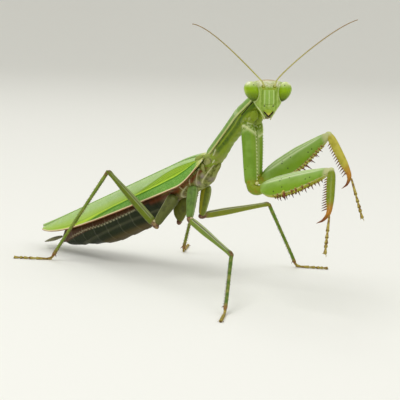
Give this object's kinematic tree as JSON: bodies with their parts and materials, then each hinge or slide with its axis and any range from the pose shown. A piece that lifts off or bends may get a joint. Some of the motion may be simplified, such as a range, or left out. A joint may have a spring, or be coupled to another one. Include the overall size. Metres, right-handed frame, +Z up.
{
  "type": "praying mantis",
  "caption": "Still, life-size praying mantis standing on its four walking legs, body pitched up, head turned to its right, forelegs half raised.",
  "frame": {"origin": "on the floor, under the middle of the whole animal's box", "axes": "+X the way the trunk heads, +Y the animal's left, +Z up"},
  "size_m": [0.1114, 0.0632, 0.0612],
  "materials": {
    "body_green": "fresh leaf-green cuticle, satin, with pale ridges and a few dark specks",
    "shield_green": "pale green cuticle with a pinkish-beige keel and margin",
    "eye_green": "smooth glossy compound eye, pale yellow-green with a darker lower half",
    "mouth_amber": "yellow-green lip with dark brown jaw edges",
    "feeler_brown": "yellow-brown, finely ringed",
    "body_olive": "olive to brown cuticle in overlapping plates with pale ridges",
    "wing_green": "leathery green forewing with fine veins, a bright costal field and a cream and brown rim",
    "wing_brown": "smoky brown folded hindwing",
    "leg_green": "green to olive cuticle with pale keels and brown knees",
    "claw_amber": "yellow-green turning orange-brown towards the claw",
    "foot_brown": "yellow-brown foot segments with dark joints"
  },
  "bodies": {
    "root": {"pterothorax": "body_olive", "abdomen": "body_olive", "cercus_right": "body_olive", "cercus_left": "body_olive", "tegmen_right": "wing_green", "tegmen_left": "wing_green", "hindwing_right": "wing_brown", "hindwing_left": "wing_brown", "pronotum": "shield_green", "prosternum": "body_green", "head": "body_green", "eye_right": "eye_green", "eye_left": "eye_green", "mouthparts": "mouth_amber", "antenna_right": "feeler_brown", "antenna_left": "feeler_brown", "neck": "body_green", "forecoxa_right": "body_green", "foretrochanter_right": "body_green", "forefemur_right": "body_green", "foretibia_right": "claw_amber", "foretarsus_right": "foot_brown", "mid_right_coxa": "leg_green", "mid_right_femur": "leg_green", "mid_right_tibia": "leg_green", "mid_right_tarsus": "foot_brown", "hind_right_coxa": "leg_green", "hind_right_femur": "leg_green", "hind_right_tibia": "leg_green", "hind_right_tarsus": "foot_brown", "forecoxa_left": "body_green", "foretrochanter_left": "body_green", "forefemur_left": "body_green", "foretibia_left": "claw_amber", "foretarsus_left": "foot_brown", "mid_left_coxa": "leg_green", "mid_left_femur": "leg_green", "mid_left_tibia": "leg_green", "mid_left_tarsus": "foot_brown", "hind_left_coxa": "leg_green", "hind_left_femur": "leg_green", "hind_left_tibia": "leg_green", "hind_left_tarsus": "foot_brown"}
  },
  "joints": []
}
